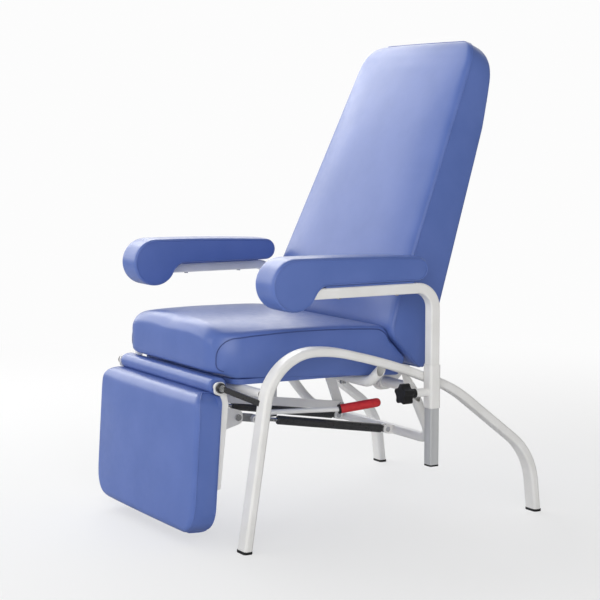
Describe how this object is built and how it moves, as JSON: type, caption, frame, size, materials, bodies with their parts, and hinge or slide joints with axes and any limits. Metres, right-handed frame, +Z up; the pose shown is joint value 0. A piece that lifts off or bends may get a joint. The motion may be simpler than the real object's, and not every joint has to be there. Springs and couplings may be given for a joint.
{
  "type": "reclining armchair",
  "caption": "Clinic recliner on bent tube arches: the back leans and the leg rest rises together on gas springs, with padded armrests that slide in clamp sleeves.",
  "frame": {"origin": "middle of the footprint, on the floor", "axes": "+Z up, the chair faces -Y, +X is the sitter's left"},
  "size_m": [0.8192, 0.9191, 1.1631],
  "materials": {
    "frame_paint": "satin off-white",
    "grey_post": "satin grey",
    "vinyl": "soft satin vinyl",
    "board": "bare plywood",
    "back_shell": "vinyl over a board",
    "black_plastic": "matte",
    "black_steel": "satin black",
    "bright_steel": "bright zinc",
    "grey_alloy": "cast",
    "red_grip": "gloss"
  },
  "bodies": {
    "frame": {"side_arch_left": "frame_paint", "side_arch_right": "frame_paint", "foot_glides": "black_plastic", "front_cross_tube": "frame_paint", "seat_support_tube": "frame_paint", "lower_u_tube": "frame_paint", "rear_cross_tube": "frame_paint", "seat_board": "board", "seat_cushion": "vinyl", "seat_bolts": "bright_steel", "hinge_arms": "black_steel", "legrest_hinge_bolts": "bright_steel", "gas_spring_lugs": "frame_paint", "gas_spring_pins": "bright_steel", "clamp_sleeve_left": "frame_paint", "clamp_sleeve_right": "frame_paint"},
    "backrest": {"back_cushion": "vinyl", "back_panel": "back_shell", "back_hinge_plates": "frame_paint", "back_hinge_bushes": "black_plastic", "sync_lever": "frame_paint", "back_bolts": "bright_steel", "sync_pin": "bright_steel"},
    "legrest": {"legrest_board": "board", "legrest_pad": "vinyl", "legrest_hinge_tube": "frame_paint", "hinge_roll": "vinyl", "legrest_brackets": "frame_paint", "legrest_cranks": "frame_paint", "sync_crank": "frame_paint", "crank_bolts": "bright_steel", "legrest_bolts": "bright_steel"},
    "sync_link": {"sync_bar": "frame_paint"},
    "release_lever": {"release_lever": "frame_paint", "lever_grip": "red_grip"},
    "gas_cylinder_left": {"gas_cylinder_left": "black_steel", "gas_eye_left": "black_steel"},
    "gas_rod_left": {"gas_rod_left": "bright_steel", "release_head_left": "grey_alloy", "lever_pin": "bright_steel"},
    "armrest_left": {"armrest_tube_left": "frame_paint", "armrest_post_left": "grey_post", "armrest_plugs_left": "black_plastic", "armrest_board_left": "board", "armrest_pad_left": "vinyl", "armrest_screws_left": "bright_steel"},
    "knob_left": {"knob_left": "black_plastic"},
    "gas_cylinder_right": {"gas_cylinder_right": "black_steel", "gas_eye_right": "black_steel"},
    "gas_rod_right": {"gas_rod_right": "bright_steel", "release_head_right": "grey_alloy"},
    "armrest_right": {"armrest_tube_right": "frame_paint", "armrest_post_right": "grey_post", "armrest_plugs_right": "black_plastic", "armrest_board_right": "board", "armrest_pad_right": "vinyl", "armrest_screws_right": "bright_steel"},
    "knob_right": {"knob_right": "black_plastic"}
  },
  "joints": [
    {"name": "back_recline", "type": "hinge", "parent": "frame", "child": "backrest", "pos_m": [0, 0.08957, 0.336], "axis": [-1, 0, 0], "range_deg": [0, 40]},
    {"name": "legrest_raise", "type": "hinge", "parent": "frame", "child": "legrest", "pos_m": [0, -0.3865, 0.364], "axis": [-1, 0, 0], "range_deg": [0, 60]},
    {"name": "sync_pivot", "type": "hinge", "parent": "backrest", "child": "sync_link", "pos_m": [-0.0465, 0.12657, 0.23434], "axis": [-1, 0, 0], "range_deg": [-40, 0]},
    {"name": "spring_pivot_left", "type": "hinge", "parent": "frame", "child": "gas_cylinder_left", "pos_m": [0.117, 0.1585, 0.196], "axis": [1, 0, 0], "range_deg": [0, 7.31]},
    {"name": "rod_slide_left", "type": "slide", "parent": "gas_cylinder_left", "child": "gas_rod_left", "axis": [0, -0.987, 0.1607], "range_m": [0, 0.13714]},
    {"name": "armrest_height_left", "type": "slide", "parent": "frame", "child": "armrest_left", "axis": [0, 0, 1], "range_m": [-0.06, 0.1]},
    {"name": "knob_turn_left", "type": "hinge", "parent": "frame", "child": "knob_left", "pos_m": [0.3855, 0.05, 0.332], "axis": [0, -1, 0], "continuous": true},
    {"name": "spring_pivot_right", "type": "hinge", "parent": "frame", "child": "gas_cylinder_right", "pos_m": [-0.117, 0.1585, 0.196], "axis": [1, 0, 0], "range_deg": [0, 7.31]},
    {"name": "rod_slide_right", "type": "slide", "parent": "gas_cylinder_right", "child": "gas_rod_right", "axis": [0, -0.987, 0.1607], "range_m": [0, 0.13714]},
    {"name": "armrest_height_right", "type": "slide", "parent": "frame", "child": "armrest_right", "axis": [0, 0, 1], "range_m": [-0.06, 0.1]},
    {"name": "knob_turn_right", "type": "hinge", "parent": "frame", "child": "knob_right", "pos_m": [-0.3855, 0.05, 0.332], "axis": [0, -1, 0], "continuous": true},
    {"name": "lever_lift", "type": "hinge", "parent": "gas_rod_left", "child": "release_lever", "pos_m": [0.134, -0.2261, 0.25861], "axis": [1, 0, 0], "range_deg": [0, 7], "stiffness_Nm_per_rad": 4, "springref_deg": -2.86}
  ],
  "couplings": [
    {"joint": "legrest_raise", "follows": "back_recline", "ratio": 1.5},
    {"joint": "sync_pivot", "follows": "back_recline", "ratio": -1},
    {"joint": "spring_pivot_left", "follows": "back_recline", "ratio": 0.1826},
    {"joint": "rod_slide_left", "follows": "back_recline", "m_per_rad": 0.19629},
    {"joint": "spring_pivot_right", "follows": "back_recline", "ratio": 0.1826},
    {"joint": "rod_slide_right", "follows": "back_recline", "m_per_rad": 0.19629}
  ]
}
